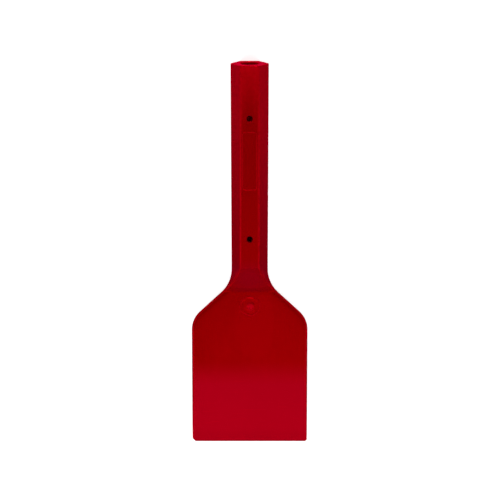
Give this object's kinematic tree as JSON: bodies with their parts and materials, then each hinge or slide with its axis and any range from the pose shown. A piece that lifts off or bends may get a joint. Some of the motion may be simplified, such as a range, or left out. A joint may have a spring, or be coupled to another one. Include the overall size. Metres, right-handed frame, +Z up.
{
  "type": "hive tool",
  "caption": "Wide-bladed plastic hive tool: hollow six-sided grip, ramped neck with flared shoulders, flat blade thinning to a bevelled scraping edge.",
  "frame": {"origin": "middle of the tool's outline, on the surface that the back flat of the grip rests on", "axes": "+X across the blade, +Y along the tool towards the open end of the grip, +Z up out of the front face; the tool lies on its back"},
  "size_m": [0.075, 0.25, 0.0212],
  "materials": {
    "red_plastic": "smooth glossy moulding, slightly flow-marked, fine scuffs on the blade"
  },
  "bodies": {
    "root": {"handle": "red_plastic", "name_panel": "red_plastic", "neck": "red_plastic", "blade": "red_plastic", "scraping_edge": "red_plastic", "gate_mark": "red_plastic"}
  },
  "joints": []
}
